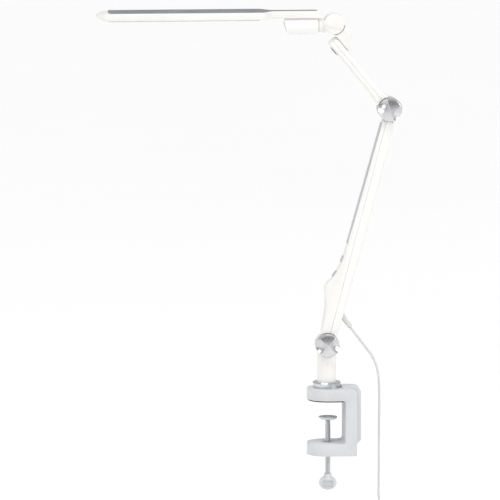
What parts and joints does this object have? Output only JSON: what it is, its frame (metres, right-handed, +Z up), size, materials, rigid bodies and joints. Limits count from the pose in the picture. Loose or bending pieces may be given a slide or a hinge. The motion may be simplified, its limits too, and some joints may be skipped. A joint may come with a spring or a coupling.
{
  "type": "swing arm desk lamp",
  "caption": "Clamp-on desk lamp with a straight arm on a post, friction knobs, a short upper arm, a swivelling wrist and a long flat light head.",
  "frame": {"origin": "centre of the clamp's upper clamping face on the post's axis, so the desk top is at z = 0", "axes": "+Z up along the post, +X away from the light head, +Y towards the lamp's back, with the knobs on the -Y side"},
  "size_m": [0.4328, 0.064, 0.8243],
  "materials": {
    "black_rubber": "matt",
    "brass": "plain",
    "cast_aluminium": "as cast",
    "chrome": "polished",
    "circuit_board": "plain",
    "clear_acrylic": "clear",
    "grey_lacquer": "grey lacquer over cast metal",
    "grey_lead": "soft, light grey",
    "grey_plastic": "satin blue-grey",
    "nylon": "natural",
    "opal_acrylic": "satin, diffusing",
    "satin_chrome": "satin chrome plated",
    "slate_aluminium": "anodised blue-grey",
    "white_lacquer": "satin white",
    "zinc_steel": "zinc plated"
  },
  "bodies": {
    "clamp": {"clamp_body": "grey_lacquer", "jaw_pad": "black_rubber", "collar_ring": "chrome", "socket_bush": "nylon", "screw_nut": "zinc_steel"},
    "pressure_pad": {"pressure_disc": "grey_lacquer", "disc_rivet": "zinc_steel"},
    "clamp_screw": {"clamp_screw": "zinc_steel", "thumb_knob": "grey_lacquer"},
    "post": {"post_column": "white_lacquer", "post_spigot": "zinc_steel", "base_bolt": "zinc_steel", "base_cap": "white_lacquer", "base_washer": "nylon", "cord_lead": "grey_lead", "cord_coil": "grey_lead", "cord_tail": "grey_lead", "plug_body": "white_lacquer", "plug_pin_1": "zinc_steel", "plug_pin_2": "zinc_steel"},
    "lower_arm": {"lower_front_shell": "white_lacquer", "lower_rear_shell": "white_lacquer", "strain_relief": "grey_lead", "lower_arm_core": "cast_aluminium", "control_strip": "grey_plastic", "circuit_board": "circuit_board", "lower_wire": "grey_lead"},
    "base_knob": {"base_knob": "satin_chrome", "base_knob_insert": "brass"},
    "elbow_knob": {"elbow_knob": "satin_chrome", "elbow_knob_insert": "brass"},
    "power_button": {"power_button": "grey_plastic"},
    "dimmer_button": {"dimmer_button": "grey_plastic"},
    "upper_arm": {"upper_cover_top": "white_lacquer", "upper_cover_bottom": "white_lacquer", "upper_arm_core": "cast_aluminium", "upper_wire": "grey_lead", "elbow_bolt": "zinc_steel", "elbow_cap": "white_lacquer", "elbow_washer": "nylon", "swivel_plug": "black_rubber"},
    "link": {"link_body": "white_lacquer", "swivel_washer": "nylon", "swivel_screw": "zinc_steel", "wrist_pin": "zinc_steel"},
    "wrist": {"neck_fork": "white_lacquer", "wrist_cap_front": "white_lacquer", "wrist_cap_back": "white_lacquer", "roll_bolt": "zinc_steel"},
    "head": {"barrel": "white_lacquer", "barrel_plug": "grey_plastic", "head_housing": "white_lacquer", "top_panel": "slate_aluminium", "diffuser": "opal_acrylic", "light_guide": "clear_acrylic", "reflector_sheet": "nylon", "heat_spreader": "cast_aluminium", "led_strip": "circuit_board", "light_bezel": "grey_plastic"}
  },
  "joints": [
    {"name": "screw_travel", "type": "slide", "parent": "clamp", "child": "pressure_pad", "axis": [0, 0, 1], "range_m": [-0.0325, 0.0235]},
    {"name": "screw_turn", "type": "hinge", "parent": "pressure_pad", "child": "clamp_screw", "pos_m": [0.0018, 0, -0.06], "axis": [0, 0, 1], "range_deg": [-5870, 4240]},
    {"name": "post_swivel", "type": "hinge", "parent": "clamp", "child": "post", "pos_m": [0, 0, 0.03], "axis": [0, 0, 1], "range_deg": [-170, 170]},
    {"name": "base_tilt", "type": "hinge", "parent": "post", "child": "lower_arm", "pos_m": [0, 0, 0.0801], "axis": [0, 1, 0], "range_deg": [-70, 60], "deforming": ["cord_lead"]},
    {"name": "base_knob_turn", "type": "hinge", "parent": "lower_arm", "child": "base_knob", "pos_m": [0, 0, 0.0801], "axis": [0, 1, 0], "range_deg": [-180, 180]},
    {"name": "power_press", "type": "slide", "parent": "lower_arm", "child": "power_button", "axis": [0.9348, 0, -0.3551], "range_m": [0, 0.001], "stiffness_N_per_m": 900},
    {"name": "dimmer_press", "type": "slide", "parent": "lower_arm", "child": "dimmer_button", "axis": [0.832, 0, -0.5548], "range_m": [0, 0.001], "stiffness_N_per_m": 900},
    {"name": "elbow_bend", "type": "hinge", "parent": "lower_arm", "child": "upper_arm", "pos_m": [0.08831, 0, 0.41671], "axis": [0, 1, 0], "range_deg": [-70, 85]},
    {"name": "elbow_knob_turn", "type": "hinge", "parent": "lower_arm", "child": "elbow_knob", "pos_m": [0.08831, 0, 0.41671], "axis": [0, 1, 0], "range_deg": [-180, 180]},
    {"name": "arm_swivel", "type": "hinge", "parent": "upper_arm", "child": "link", "pos_m": [0.01596, 0, 0.50416], "axis": [0.7705, 0, 0.6374], "range_deg": [-90, 90]},
    {"name": "wrist_tilt", "type": "hinge", "parent": "link", "child": "wrist", "pos_m": [0.00931, 0, 0.53824], "axis": [0, 1, 0], "range_deg": [-12, 60]},
    {"name": "head_roll", "type": "hinge", "parent": "wrist", "child": "head", "pos_m": [0.00931, 0, 0.53584], "axis": [1, 0, 0], "range_deg": [-75, 75]}
  ],
  "couplings": [
    {"joint": "screw_turn", "follows": "screw_travel", "rad_per_m": 3141.6}
  ]
}
